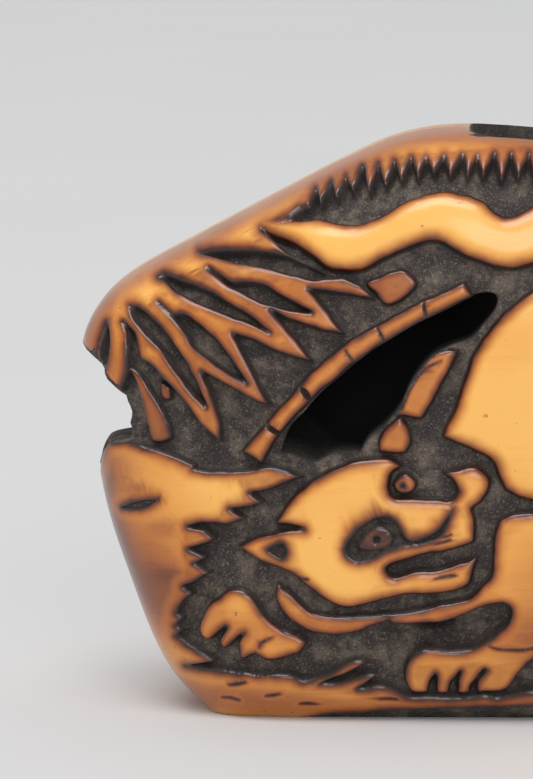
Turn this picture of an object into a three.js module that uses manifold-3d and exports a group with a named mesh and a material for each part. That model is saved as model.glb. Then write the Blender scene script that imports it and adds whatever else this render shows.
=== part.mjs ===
// A netsuke, the carved toggle that hangs a pouch from a sash. It is one piece of stag antler, standing on its
// flat lower edge. The front is carved in sunken relief: a tiger crouches under bamboo with its head turned
// to the left and its tail waving along its back. The core of the antler is hollowed out, and the hollow opens
// as a crescent in the front, as a cord slot in the top edge and as a round cord hole in the back.
//
// Millimetres, +Z up. X runs along the piece, from the tiger's head (-X) to its rump (+X). The carved front
// faces -Y. The origin is the middle of the flat foot.
//
// The piece is made the way a carver makes it. A smooth pebble-shaped blank is sunk round the figures down to
// a floor, so a figure is the part of the blank inside its outline, and the floor is a smaller pebble inside.

import * as THREE from "three";
import { mergeVertices } from "three/addons/utils/BufferGeometryUtils.js";
import Module from "manifold-3d";

const wasm = await Module();
wasm.setup();

// ---- Driving dimensions ----

const HEIGHT = 33.0; // foot to crest
const DEPTH = 17; // front to back
const CORE = { x: 0, z: 16 }; // the point that the pebble's rings close in on
const EDGE_POWER = 3.2; // how square the pebble's edge is: 2 is an ellipse, more is flatter

const FLOOR_SINK = 1.0; // depth of the sunken floor below the blank's faces
const FLOOR_INSET = 0.6; // the floor's distance in from the blank's edge

const HOLLOW = { x: -4.5, z: 21.4, length: 20.6, height: 16.4, depth: 10.4 };
const SLOT = { left: -3.4, right: 7.4, y: -0.2, width: 6.0, corner: 1.5, floor: 22 }; // in the crest
const CORD_HOLE = { x: 2.2, z: 17.6, radius: 3.1 }; // cord hole in the back, out of sight from the front

const EDGE_STEPS = 78; // points round the blank
const RINGS = 7; // rings from the blank's edge to the middle of each face
const CURVE_STEPS = 3; // steps between two points of a figure's outline
const FLAT_ENOUGH = 0.06; // a figure's outline leaves out points this close to a straight line
const UNDERCUT = 0.2; // how steeply the floor of the gap in the left end falls away to the back
const OUTSIDE = 30; // a distance that is past the blank on every side

// ---- The blank's outline, seen from the front, from the foot's left end round the top to its right end. ----
// It dips a little below the foot, which is cut flat at z = 0.

const BLANK = [
  [-16.8, -0.7], [-18.6, 0.3], [-20.2, 1.95], [-21.4, 4.1], [-22.65, 7.4], [-23.85, 11.0], [-24.55, 14.3],
  [-25.1, 17.8], [-25.4, 20.6], [-24.5, 22.8], [-22.6, 24.65], [-18.9, 26.75], [-14.7, 29.0], [-11.0, 30.95],
  [-7.8, 32.4], [-4.4, HEIGHT], [0.5, 32.8], [6.0, 32.0], [12.0, 30.3], [18.0, 27.5], [22.6, 24.2],
  [25.0, 20.4], [25.5, 16.2], [24.9, 11.0], [23.4, 6.0], [21.0, 1.8], [17.6, -0.7], [8.5, -0.8],
  [0, -0.7], [-8.5, -0.8],
];

// ---- Outlines ----

// Points along a closed outline of [x, z] points. A third value marks a corner, and between corners the
// outline is a smooth curve through its points.
function outline(points, steps = CURVE_STEPS) {
  const first = points.findIndex((point) => point.length > 2);
  if (first < 0) return curve(points, steps, true);
  const round = [...points.slice(first), ...points.slice(0, first), points[first]];
  const result = [];
  let run = [round[0]];
  for (const point of round.slice(1)) {
    run.push(point);
    if (point.length < 3) continue;
    result.push(...(run.length > 2 ? curve(run, steps, false) : [new THREE.Vector2(...run[0].slice(0, 2))]));
    run = [point];
  }
  return result;
}

// The outline without the points that lie almost on a straight line between their neighbours.
function thinned(points) {
  const kept = [];
  points.forEach((point, index) => {
    const before = kept.at(-1) ?? points.at(-1);
    const after = points[(index + 1) % points.length];
    const along = after.clone().sub(before);
    const reach = point.clone().sub(before);
    if (Math.abs(along.cross(reach)) > FLAT_ENOUGH * along.length()) kept.push(point);
  });
  return kept;
}

// Points along a smooth curve, without its last point.
function curve(points, steps, closed) {
  const places = points.map(([x, z]) => new THREE.Vector3(x, 0, z));
  const smooth = new THREE.CatmullRomCurve3(places, closed, "catmullrom", 0.5);
  const spans = closed ? places.length : places.length - 1;
  return smooth.getPoints(spans * steps).slice(0, -1).map(({ x, z }) => new THREE.Vector2(x, z));
}

// A leaf-shaped outline from a to b: pointed ends, the given width in its middle, bowed to its left side.
function leaf(a, b, width, bow = 0) {
  const start = new THREE.Vector2(...a);
  const along = new THREE.Vector2(...b).sub(start);
  const side = new THREE.Vector2(-along.y, along.x).normalize();
  const at = (share, offset) => start.clone().addScaledVector(along, share).addScaledVector(side, offset);
  const bulge = (share, sign) => Math.sin(Math.PI * share) * (bow + (sign * width) / 2);
  const edge = (shares, sign) => shares.map((share) => at(share, bulge(share, sign)).toArray());
  const shares = [0.28, 0.6, 0.85];
  return outline([[...a, 1], ...edge(shares, 1), [...b, 1], ...edge(shares, -1).reverse()], 1);
}

// A band's outline along a smooth centre line of [x, z, width] points, with square ends.
function band(points, steps = 2) {
  const centres = points.map(([x, z, width]) => new THREE.Vector3(x, z, width));
  const line = new THREE.CatmullRomCurve3(centres, false, "catmullrom", 0.5);
  const samples = line.getPoints((points.length - 1) * steps);
  const sides = (sign) => samples.map((centre, index) => {
    const before = samples[Math.max(index - 1, 0)];
    const after = samples[Math.min(index + 1, samples.length - 1)];
    const along = new THREE.Vector2(after.x - before.x, after.y - before.y).normalize();
    const half = (sign * centre.z) / 2;
    return new THREE.Vector2(centre.x - along.y * half, centre.y + along.x * half);
  });
  return [...sides(1), ...sides(-1).reverse()];
}

// Corners of a saw edge along a smooth line: each tooth hangs from the line, leaning back towards its start.
function saw(points, teeth, drop, lean) {
  const line = new THREE.CatmullRomCurve3(points.map(([x, z]) => new THREE.Vector3(x, 0, z)));
  const corners = [];
  for (let tooth = 0; tooth < teeth; tooth += 1) {
    const notch = line.getPoint(tooth / (teeth - 1));
    const length = drop * Math.min(1, 0.55 + tooth * 0.12);
    corners.push([notch.x, notch.z, 1], [notch.x + lean, notch.z - length, 1]);
  }
  return corners;
}

// Corners of a jagged edge between two places: tufts of growth that stick out to one side.
function tufts(from, to, count, length) {
  const start = new THREE.Vector2(...from);
  const step = new THREE.Vector2(...to).sub(start).divideScalar(count);
  const side = new THREE.Vector2(-step.y, step.x).normalize();
  const corners = [];
  for (let index = 0; index < count; index += 1) {
    const root = start.clone().addScaledVector(step, index);
    const tip = root.clone().addScaledVector(step, 0.35);
    tip.addScaledVector(side, length * (0.8 + 0.3 * Math.sin(index * 2.3)));
    corners.push([...root.toArray(), 1], [...tip.toArray(), 1]);
  }
  return corners;
}

function ellipse(x, z, radiusX, radiusZ, sides) {
  const points = [];
  for (let side = 0; side < sides; side += 1) {
    const angle = (2 * Math.PI * side) / sides;
    points.push(new THREE.Vector2(x + radiusX * Math.cos(angle), z + radiusZ * Math.sin(angle)));
  }
  return points;
}

// ---- Solids ----

function toManifold(geometry) {
  const bare = geometry.index ? geometry.toNonIndexed() : geometry.clone();
  bare.deleteAttribute("normal");
  bare.deleteAttribute("uv");
  const merged = mergeVertices(bare, 1e-5);
  const vertProperties = new Float32Array(merged.attributes.position.array);
  const triVerts = new Uint32Array(merged.index.array);
  return new wasm.Manifold(new wasm.Mesh({ numProp: 3, vertProperties, triVerts }));
}

function toGeometry(solid) {
  const mesh = solid.getMesh();
  const geometry = new THREE.BufferGeometry();
  geometry.setAttribute("position", new THREE.BufferAttribute(new Float32Array(mesh.vertProperties), 3));
  geometry.setIndex(new THREE.BufferAttribute(new Uint32Array(mesh.triVerts), 1));
  geometry.computeVertexNormals();
  return geometry;
}

const joined = (solids) => solids.reduce((whole, solid) => whole.add(solid));

// A straight prism of an outline, between two places along Y. It can fall away to the back by a slope.
function prism(points, front, back, fall = 0) {
  const shape = new THREE.Shape(thinned(points));
  const geometry = new THREE.ExtrudeGeometry(shape, { depth: back - front, bevelEnabled: false });
  geometry.rotateX(Math.PI / 2);
  geometry.translate(0, back, 0);
  geometry.applyMatrix4(new THREE.Matrix4().makeShear(0, 0, 0, -fall, 0, 0));
  return toManifold(geometry);
}

// A pebble: rings of an outline that close in on a centre, with a superellipse for its section.
function pebble(outlinePoints, centre, depth, rings) {
  const points = THREE.ShapeUtils.isClockWise(outlinePoints) ? [...outlinePoints].reverse() : outlinePoints;
  const positions = [centre.x, -depth / 2, centre.z, centre.x, depth / 2, centre.z];
  const faces = [];
  const count = points.length;
  const ring = (index) => 2 + index * count;
  for (let index = 1; index < 2 * rings; index += 1) {
    const angle = (Math.PI * index) / (2 * rings);
    const reach = Math.sin(angle) ** (2 / EDGE_POWER);
    const rise = -Math.sign(Math.cos(angle)) * Math.abs(Math.cos(angle)) ** (2 / EDGE_POWER);
    for (const point of points) {
      positions.push(centre.x + (point.x - centre.x) * reach, (rise * depth) / 2);
      positions.push(centre.z + (point.y - centre.z) * reach);
    }
  }
  const last = 2 * rings - 2;
  for (let side = 0; side < count; side += 1) {
    const next = (side + 1) % count;
    faces.push(0, ring(0) + side, ring(0) + next);
    faces.push(1, ring(last) + next, ring(last) + side);
    for (let index = 0; index < last; index += 1) {
      const near = ring(index);
      const far = ring(index + 1);
      faces.push(near + side, far + side, far + next, near + side, far + next, near + next);
    }
  }
  const geometry = new THREE.BufferGeometry();
  geometry.setAttribute("position", new THREE.BufferAttribute(new Float32Array(positions), 3));
  geometry.setIndex(faces);
  return toManifold(geometry);
}

function box(min, max) {
  const size = max.map((value, axis) => value - min[axis]);
  const geometry = new THREE.BoxGeometry(...size);
  geometry.translate(...min.map((value, axis) => value + size[axis] / 2));
  return toManifold(geometry);
}

const front = (points) => prism(points, -OUTSIDE, 0);
const back = (points) => prism(points, 0, OUTSIDE);

// The outline drawn in towards the pebble's centre by a distance.
function inset(points, distance) {
  return points.map((point) => {
    const arm = new THREE.Vector2(point.x - CORE.x, point.y - CORE.z);
    arm.setLength(arm.length() - distance);
    return new THREE.Vector2(CORE.x + arm.x, CORE.z + arm.y);
  });
}

// ---- The field: everything on the front that is sunk, apart from the figures standing in it ----

// The rim's lower edge, with its row of saw teeth, and the bamboo blades that hang from the rim at the right.
const RIM_EDGE = [
  [-13.55, 28.45, 1], [-12.75, 29.0],
  ...saw([[-12.1, 29.9], [-9.4, 31.1], [-6.65, 31.75], [-0.2, 31.95], [4, 31.5], [8.2, 30.5]], 22, 1.15, 0.22),
  [8.9, 27.9, 1], [10.6, 28.6], [11.6, 29.2, 1], [11.2, 28.0], [11.6, 26.6, 1], [13.2, 27.3],
  [14.2, 28.0, 1], [14.1, 26.9], [14.8, 25.5, 1], [16.0, 26.1], [16.9, 26.7, 1], [17.1, 25.5],
  [18.0, 24.2, 1], [19.0, 24.6], [20.3, 24.2], [22.0, 22.0], [23.2, 19.2], [23.6, 16.2], [23.3, 13.9, 1],
];

// The rough ground at the right end, and the top of the ground under the tiger.
const RIGHT_GROUND = [
  ...tufts([22.0, 13.2], [18.2, 3.2], 6, -2.0),
  [17.6, 2.9, 1], [14, 1.45], [9, 1.1], [5.5, 1.15], [2.5, 1.55],
];
const FOOT_GROUND = [
  [0.1, 1.75], [-1.5, 1.3], [-4, 1.3], [-6.1, 1.28], [-7.5, 1.75], [-8.4, 2.05], [-9.6, 1.93, 1],
  [-8.55, 2.8, 1], [-10.1, 2.5], [-11.7, 2.2, 1], [-10.6, 2.65], [-9.2, 3.6, 1], [-10.8, 3.05],
  [-12.2, 2.45], [-15.75, 2.7], [-19.4, 2.85, 1],
];

// The rough ground mass at the left end, from its foot up its jagged right edge and along its top.
const LEFT_GROUND = [
  [-17.85, 3.3, 1], [-19.95, 4.6, 1], [-19.65, 4.95, 1], [-19.97, 6.0, 1], [-19.05, 7.2, 1], [-19.5, 7.6, 1],
  [-18.05, 8.5, 1], [-18.85, 9, 1], [-18.2, 9.4, 1], [-19.1, 9.83, 1], [-17.7, 10.5, 1], [-18.3, 11.35, 1],
  [-15.95, 11.75, 1], [-16.75, 12.25, 1], [-15.0, 12.7, 1], [-15.6, 13.2, 1], [-13.95, 13.67],
  [-12.7, 14.2, 1], [-14.5, 14.72], [-16.05, 14.37], [-17.9, 14.32], [-18.8, 14.65], [-21.35, 15.5],
  [-23, 15.75, 1], [-OUTSIDE, 15.9, 1], [-OUTSIDE, 18.3, 1],
];

// The bamboo blades of the left end: alternating tips and roots, and the long cuts between them.
const BLADES = [
  [-23.48, 18.25, 1], [-22.75, 19.6], [-22.55, 21.1], [-22.85, 22.45, 1], [-22.15, 21.6], [-21.85, 20.55],
  [-20.8, 19.8], [-18.73, 17.4], [-17.3, 16.0, 1], [-17.3, 17.2], [-18.35, 19.97, 1], [-16.85, 19.2],
  [-14.65, 18.25, 1], [-15.65, 20.35], [-16.6, 22.12, 1], [-14.2, 21.25], [-12.25, 20.7, 1],
  [-13.1, 21.85], [-14.45, 23.4, 1], [-12.7, 22.75], [-10.45, 22.25, 1], [-11.3, 23.4], [-12.4, 24.6, 1],
  [-10.7, 24.5], [-8.8, 24.2, 1], [-9.6, 24.95], [-11.45, 25.25], [-14, 25.6], [-16, 25.95],
  [-18.7, 26.35, 1], [-16, 26.63], [-13.5, 26.3], [-11.6, 25.6, 1], [-13.35, 26.45], [-15.1, 27.7, 1],
];

// Cuts that stand alone inside the blades.
const BLADE_CUTS = [
  leaf([-17.4, 25.2], [-12.25, 23.4], 0.75, 0.1),
  leaf([-20.9, 24.9], [-14.55, 22.25], 0.95, 0.1),
  leaf([-20.6, 23.5], [-15.8, 19.4], 1.15, 0.25),
  leaf([-22.5, 23.3], [-18.1, 18.0], 0.9, 0.25),
  leaf([-23.85, 22.35], [-24.0, 19.7], 0.55, -0.3),
];

// ---- The figures that stand in the field ----

const TAIL = band([
  [-16.2, 27.95, 0.5], [-14.3, 27.95, 1.0], [-12.2, 27.4, 2.1], [-10.2, 26.98, 2.6], [-8.2, 27.75, 2.3],
  [-5.6, 28.8, 2.8], [-3.4, 28.2, 3.2], [-1.5, 27.4, 2.9], [0.6, 28.1, 3.0], [3.2, 28.6, 3.1],
  [6.2, 27.6, 2.9], [8.6, 25.6, 2.7], [11.4, 24.0, 2.6], [14.6, 23.2, 2.6], [17.6, 22.2, 2.6],
  [19.3, 20.2, 2.5], [18.9, 17.9, 2.5], [17.0, 16.4, 2.4],
]);

const STEM = band([
  [-15.4, 15.4, 1.2], [-14.4, 16.75, 1.0], [-13.2, 18.15, 0.95], [-12.1, 19.4, 1.1], [-10.35, 20.95, 1.2],
  [-8.5, 22.15, 1.1], [-6.5, 23.3, 1.0], [-3.65, 24.72, 0.9],
]);

const SHORT_STEM = [
  outline([[-4.2, 21.3, 1], [-5.5, 21.1], [-6.8, 19.6], [-7.4, 17.8, 1], [-6.1, 17.6, 1], [-5.1, 19.4]]),
  outline([[-7.1, 17.5], [-8.2, 16.95], [-8.5, 15.75, 1], [-6.95, 15.65], [-6.7, 16.5]]),
];

const SHOULDER = outline([
  [-4.65, 16.33], [-4.7, 17.3], [-4.1, 18.7], [-3.4, 20.8], [-2, 22.85], [0.1, 24.7], [3.2, 25.4],
  [6.2, 24.4], [8.6, 21.9], [9.6, 18.6], [9.3, 15.4], [7.6, 13.3], [4, 12.5], [0.1, 12.95], [-1.2, 13.38],
  [-1.9, 14.65], [-3.05, 15.7],
]);

const HEAD = outline([
  [-16.35, 10.1, 1], [-14.4, 10.98], [-12.65, 11.25, 1], [-14.2, 11.5, 1], [-13, 13.3], [-10.5, 14.9],
  [-8.2, 15.32], [-7.15, 14.87, 1], [-7.9, 13.9], [-7.2, 13.0], [-5.4, 13.05], [-4, 13.48, 1],
  [-5, 14.5, 1], [-3.05, 14.85], [-2.28, 13.8], [-3.2, 12.65, 1], [-3.1, 10.8], [-3.55, 10.4, 1],
  [-5.6, 9.9], [-7.98, 9.05, 1], [-7.1, 8.6], [-2.98, 9.7, 1], [-3.2, 8.55], [-4.1, 7.8], [-8.4, 7.15],
  [-10.1, 6.77], [-11.8, 7.4], [-13.2, 8.6],
]);

const NECK = outline([
  [-14.15, 7.95, 1], [-12.2, 6.5], [-9.8, 6.3], [-7.6, 6.5, 1], [-8.4, 5.75, 1], [-10.4, 5.1], [-12.6, 5.5],
  [-14.0, 6.7],
]);

// The chest, the near foreleg with its paw, and the belly.
const FORELEG = outline([
  [-7.8, 6.4, 1], [-5.4, 6.85], [-3.45, 7.33], [-2.1, 9.2], [-1.8, 11.8], [0.1, 12.3], [4, 11.7],
  [7.6, 12.2], [9.5, 13.6, 1], [9.7, 10.6], [10.6, 7.8], [9.6, 6.0, 1], [5, 5.6], [2, 4.9], [0.1, 3.65],
  [-1.3, 1.65, 1], [-6.4, 1.6], [-7.0, 2.9], [-6.1, 4.25], [-3.3, 4.4], [-1.15, 6.3], [-1.5, 7.05],
  [-4.35, 6.15],
]);

const FAR_PAW = outline([
  [-18.65, 5.3], [-18.0, 6.75], [-16.4, 7.65], [-15.2, 6.75], [-12.6, 4.7], [-14.3, 3.5], [-15.45, 3.85, 1],
  [-16.35, 3.6], [-16.05, 5.1, 1], [-17.3, 4.1], [-17.1, 5.35, 1], [-18.2, 4.5],
]);

const RUMP = outline([
  [10.4, 13.6], [10.6, 16.4], [12.2, 18.9], [14.6, 19.6], [17.0, 18.2], [18.2, 15.2], [17.9, 11.8],
  [16.4, 8.6], [15.6, 5.6], [15.5, 3.2], [14.6, 1.9], [9.2, 1.6], [7.4, 1.9], [6.7, 3.0], [7.4, 4.3],
  [10.0, 4.9], [11.5, 6.4], [10.8, 9.4],
]);

// ---- Fine cuts in the figures, and what stands inside them ----

const EYE_RING = outline([
  [-10.3, 10.03], [-9.25, 11.6], [-8.27, 12.03], [-7.3, 11.5], [-6.5, 10.68], [-5.3, 11.1],
  [-4.3, 12.45, 1], [-5, 10.95], [-7.15, 10.35], [-9.32, 9.53],
]);
const EYE = outline([[-9.5, 10.2, 1], [-8.97, 11.22], [-8.13, 11.43], [-7.6, 10.7, 1], [-8.5, 10.15]]);
const SMALL_EYE = ellipse(-6.95, 13.85, 0.62, 0.52, 8);

const FINE_CUTS = [
  leaf([-14.8, 10.0], [-13.4, 9.8], 0.75, 0), // inside of the ear
  leaf([-5.65, 1.2], [-5.2, 2.9], 0.3, 0), // between the toes of the near paw
  leaf([-4.5, 1.2], [-3.9, 3.1], 0.3, 0),
  leaf([-3.3, 1.2], [-2.5, 3.2], 0.3, 0),
  leaf([8.2, 1.2], [8.9, 2.9], 0.3, 0), // between the toes of the hind foot
  leaf([9.6, 1.2], [10.3, 3.1], 0.3, 0),
  leaf([11.0, 1.2], [11.7, 3.2], 0.3, 0),
  leaf([-15.0, 17.2], [-13.7, 16.4], 0.3, 0), // at the nodes of the bamboo stem
  leaf([-9.0, 22.9], [-8.0, 21.6], 0.3, 0),
];

// ---- The back: a spray of bamboo cut into the smooth face round the cord hole ----

const BACK_STEM = band([[15.5, 7.0, 0.9], [8.0, 12.2, 0.8], [2.5, 14.9, 0.7]]);
const BACK_LEAVES = [
  leaf([7.6, 13.2], [1.6, 20.6], 1.9, 0.5),
  leaf([9.4, 12.4], [7.0, 21.4], 2.0, 0.4),
  leaf([11.2, 11.3], [13.4, 20.0], 2.0, -0.3),
  leaf([6.0, 12.4], [-3.2, 9.6], 1.9, -0.6),
  leaf([9.0, 10.4], [1.8, 5.6], 1.9, -0.5),
  leaf([-17.6, 19.6], [-11.2, 13.6], 1.9, 0.5),
  leaf([-18.2, 18.6], [-17.6, 10.2], 1.8, 0.4),
  leaf([-18.8, 20.6], [-12.0, 22.4], 1.7, 0.4),
];

// The gap in the left end between the blades and the ground, which runs right round the edge.
const END_GAP = outline([
  [-OUTSIDE, 20.75, 1], [-25.3, 20.5, 1], [-24.5, 19.5], [-23.8, 18.3], [-22.75, 17.5], [-22.35, 16.5],
  [-22.45, 15.8, 1], [-23.8, 15.45], [-24.25, 14.6], [-24.6, 13.0, 1], [-OUTSIDE, 12.6, 1],
]);

// The crescent opening under the bamboo stem.
const CRESCENT = outline([
  [-13.95, 15.5, 1], [-12.55, 17.85], [-10.5, 19.9], [-7.8, 21.95], [-4.5, 23.7], [-2.05, 24.43],
  [-2.2, 23.25], [-3.8, 21.75], [-5.87, 20.7], [-7.0, 18.75], [-8.5, 16.6], [-9.5, 15.5, 1], [-10.9, 15.42],
  [-12.1, 14.9],
]);

// ---- The netsuke ----

function sunkenField() {
  const field = front(outline([...RIM_EDGE, ...RIGHT_GROUND, ...FOOT_GROUND, ...LEFT_GROUND, ...BLADES]));
  const figures = [TAIL, STEM, ...SHORT_STEM, SHOULDER, HEAD, NECK, FORELEG, FAR_PAW, RUMP];
  const fineCuts = joined([EYE_RING, ...FINE_CUTS].map(front)).subtract(front(EYE));
  const standing = joined([...figures, SMALL_EYE].map(front)).subtract(fineCuts);
  return field.subtract(standing).add(joined(BLADE_CUTS.map(front))).add(fineCuts);
}

function hollow() {
  const middle = { x: HOLLOW.x, z: HOLLOW.z };
  const chamber = pebble(ellipse(middle.x, middle.z, HOLLOW.length / 2, HOLLOW.height / 2, 24), middle,
    HOLLOW.depth, 4);
  const { left, right, corner } = SLOT;
  const [near, far] = [SLOT.y - SLOT.width / 2, SLOT.y + SLOT.width / 2];
  const slotShape = new THREE.Shape();
  slotShape.absarc(left + corner, far - corner, corner, Math.PI / 2, Math.PI);
  slotShape.absarc(left + corner, near + corner, corner, Math.PI, Math.PI * 1.5);
  slotShape.absarc(right - corner, near + corner, corner, -Math.PI / 2, 0);
  slotShape.absarc(right - corner, far - corner, corner, 0, Math.PI / 2);
  const slotGeometry = new THREE.ExtrudeGeometry(slotShape, {
    depth: OUTSIDE - SLOT.floor + HEIGHT, bevelEnabled: false, curveSegments: 4,
  });
  slotGeometry.translate(0, 0, SLOT.floor);
  const cordHole = back(ellipse(CORD_HOLE.x, CORD_HOLE.z, CORD_HOLE.radius, CORD_HOLE.radius, 20));
  return joined([chamber, toManifold(slotGeometry), cordHole, front(CRESCENT)]);
}

function netsuke() {
  const edge = outline(BLANK, EDGE_STEPS / BLANK.length);
  const blank = pebble(edge, CORE, DEPTH, RINGS);
  const floor = pebble(inset(edge, FLOOR_INSET), CORE, DEPTH - 2 * FLOOR_SINK, RINGS);
  const carving = sunkenField().add(joined([BACK_STEM, ...BACK_LEAVES].map(back))).subtract(floor);
  const gap = prism(END_GAP, -OUTSIDE, OUTSIDE).add(prism(END_GAP, -OUTSIDE, OUTSIDE, UNDERCUT));
  const aboveFoot = box([-OUTSIDE, -OUTSIDE, 0], [OUTSIDE, OUTSIDE, HEIGHT + OUTSIDE]);
  return blank.intersect(aboveFoot).subtract(carving).subtract(gap).subtract(hollow());
}

const antler = new THREE.MeshStandardMaterial({ name: "stained antler", color: 0xd08a3c, roughness: 0.38 });

const piece = new THREE.Mesh(toGeometry(netsuke()), antler);
piece.name = "netsuke";

const group = new THREE.Group();
group.add(piece);

export default group;
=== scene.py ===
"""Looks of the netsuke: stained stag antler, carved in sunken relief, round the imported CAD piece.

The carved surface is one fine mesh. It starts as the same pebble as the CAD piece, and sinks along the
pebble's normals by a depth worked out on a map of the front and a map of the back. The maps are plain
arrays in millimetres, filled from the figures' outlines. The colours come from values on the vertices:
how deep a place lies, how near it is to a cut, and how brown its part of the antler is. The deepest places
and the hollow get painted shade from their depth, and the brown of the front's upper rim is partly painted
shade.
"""

import math

import bmesh
import bpy
import numpy as np
from mathutils import Matrix, Vector
from mathutils.bvhtree import BVHTree


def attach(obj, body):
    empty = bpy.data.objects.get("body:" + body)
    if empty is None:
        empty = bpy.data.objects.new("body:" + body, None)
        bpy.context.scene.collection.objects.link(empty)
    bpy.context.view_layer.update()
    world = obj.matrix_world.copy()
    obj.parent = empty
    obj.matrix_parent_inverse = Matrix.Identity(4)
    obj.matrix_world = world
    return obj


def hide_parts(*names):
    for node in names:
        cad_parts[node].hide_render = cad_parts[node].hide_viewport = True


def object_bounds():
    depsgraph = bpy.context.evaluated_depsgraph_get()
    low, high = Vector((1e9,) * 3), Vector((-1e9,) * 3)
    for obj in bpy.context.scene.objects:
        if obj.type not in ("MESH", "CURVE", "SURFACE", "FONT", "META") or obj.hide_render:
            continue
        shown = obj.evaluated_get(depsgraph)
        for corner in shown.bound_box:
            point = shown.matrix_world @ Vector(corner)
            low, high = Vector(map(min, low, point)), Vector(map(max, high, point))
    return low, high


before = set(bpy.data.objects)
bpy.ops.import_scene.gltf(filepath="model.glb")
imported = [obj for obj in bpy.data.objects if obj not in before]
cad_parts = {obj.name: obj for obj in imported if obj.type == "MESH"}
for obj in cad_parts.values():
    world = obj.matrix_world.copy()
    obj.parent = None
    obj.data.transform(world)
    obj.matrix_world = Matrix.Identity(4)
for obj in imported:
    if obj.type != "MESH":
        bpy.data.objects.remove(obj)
CAD_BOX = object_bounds()
MM = 0.001

# ---- The pebble, in millimetres, as in the CAD piece ----

HEIGHT = 33.0
DEPTH = 17.0
CORE = (0.0, 16.0)
EDGE_POWER = 3.2
HALF_LENGTH = 25.5
HALF_HEIGHT = 17.0

BLANK = [
    (-16.8, -0.7), (-18.6, 0.3), (-20.2, 1.95), (-21.4, 4.1), (-22.65, 7.4), (-23.85, 11.0), (-24.55, 14.3),
    (-25.1, 17.8), (-25.4, 20.6), (-24.5, 22.8), (-22.6, 24.65), (-18.9, 26.75), (-14.7, 29.0),
    (-11.0, 30.95),
    (-7.8, 32.4), (-4.4, HEIGHT), (0.5, 32.8), (6.0, 32.0), (12.0, 30.3), (18.0, 27.5), (22.6, 24.2),
    (25.0, 20.4), (25.5, 16.2), (24.9, 11.0), (23.4, 6.0), (21.0, 1.8), (17.6, -0.7), (8.5, -0.8),
    (0, -0.7), (-8.5, -0.8),
]

# ---- The maps ----

CELL = 0.05  # size of a map's cell
MAP_X = (-28.0, 28.0)
MAP_Z = (-3.0, 36.0)
REACH = 2.6  # distances to an outline are worked out this far from it

FLOOR_SINK = 0.85  # depth of the sunken floor
WALL_SLOPE = 7.0  # how steep the walls of the cuts are
SCRATCH_BURN = 3.0  # how many times narrower the burnt edge of a fine line is than that of a form

xs = np.arange(MAP_X[0], MAP_X[1], CELL)
zs = np.arange(MAP_Z[0], MAP_Z[1], CELL)
GRID_X, GRID_Z = np.meshgrid(xs, zs)


# ---- Outlines: closed lists of (x, z) points, smooth between the corners, which have a third value of 1 ----

def between(a, b, c, d, t):
    """Points of the smooth curve from b to c, at shares t of the way, with a before it and d after it."""
    return 0.5 * (2 * b + (c - a) * t + (2 * a - 5 * b + 4 * c - d) * t ** 2
                  + (3 * b - 3 * c + d - a) * t ** 3)


def smooth_run(points, closed, step=0.12):
    """Points along a smooth curve through the given points, without its last point."""
    p = np.array([point[:2] for point in points], float)
    if closed:
        padded = np.vstack([p[-1:], p, p[:2]])
    else:
        padded = np.vstack([2 * p[0] - p[1], p, 2 * p[-1] - p[-2]])
    result = []
    for a, b, c, d in zip(padded, padded[1:], padded[2:], padded[3:]):
        count = max(1, int(math.ceil(np.linalg.norm(c - b) / step)))
        t = (np.arange(count) / count)[:, None]
        result.append(between(a, b, c, d, t))
    return np.vstack(result)


def outline(points):
    """A closed outline through the points, smooth between its corners."""
    corners = [index for index, point in enumerate(points) if len(point) > 2]
    if not corners:
        return smooth_run(points, True)
    turned = list(points[corners[0]:]) + list(points[:corners[0] + 1])
    result, run = [], [turned[0]]
    for point in turned[1:]:
        run.append(point)
        if len(point) > 2:
            result.append(smooth_run(run, False))
            run = [point]
    return np.vstack(result)


def leaf(a, b, width, bow=0.0):
    """A leaf-shaped outline from a to b, bowed to its left side."""
    a, b = np.array(a, float), np.array(b, float)
    along = b - a
    side = np.array([-along[1], along[0]]) / np.linalg.norm(along)
    share = np.linspace(0, 1, 21)[:, None]
    fullness = np.sin(np.pi * share) ** 0.8
    middle = a + along * share + side * bow * np.sin(np.pi * share)
    edge = side * fullness * width / 2
    return np.vstack([middle + edge, (middle - edge)[-2:0:-1]])


def ellipse(x, z, radius_x, radius_z, sides=48):
    turn = np.linspace(0, 2 * math.pi, sides, endpoint=False)
    return np.column_stack([x + radius_x * np.cos(turn), z + radius_z * np.sin(turn)])


def band(points):
    """A band's outline along a smooth centre line of (x, z, width) points."""
    p = np.array(points, float)
    ends = np.vstack([2 * p[0] - p[1], p, 2 * p[-1] - p[-2]])
    samples = []
    for a, b, c, d in zip(ends, ends[1:], ends[2:], ends[3:]):
        t = np.linspace(0, 1, 8, endpoint=False)[:, None]
        samples.append(between(a, b, c, d, t))
    line = np.vstack(samples + [p[-1:]])
    along = np.gradient(line[:, :2], axis=0)
    along /= np.linalg.norm(along, axis=1)[:, None]
    side = np.column_stack([-along[:, 1], along[:, 0]]) * line[:, 2:3] / 2
    return np.vstack([line[:, :2] + side, (line[:, :2] - side)[::-1]])


def line_points(points):
    """Evenly spread points along an open smooth line, with its end."""
    return np.vstack([smooth_run(points, False), [points[-1][:2]]])


def saw(notches, tips, teeth):
    """Corners of a saw edge between two smooth lines: the notches between the teeth, and their tips."""
    upper, lower = line_points(notches), line_points(tips)
    corners = []
    for tooth in range(teeth):
        share = tooth / (teeth - 1)
        wobble = 0.12 * math.sin(tooth * 2.4) + 0.08 * math.sin(tooth * 5.1)
        notch = upper[int(share * (len(upper) - 1))]
        tip = lower[int(share * (len(lower) - 1))]
        corners.append((notch[0] + 0.3 * wobble, notch[1] + 0.5 * wobble, 1))
        corners.append((tip[0], tip[1] - wobble, 1))
    return corners


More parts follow.
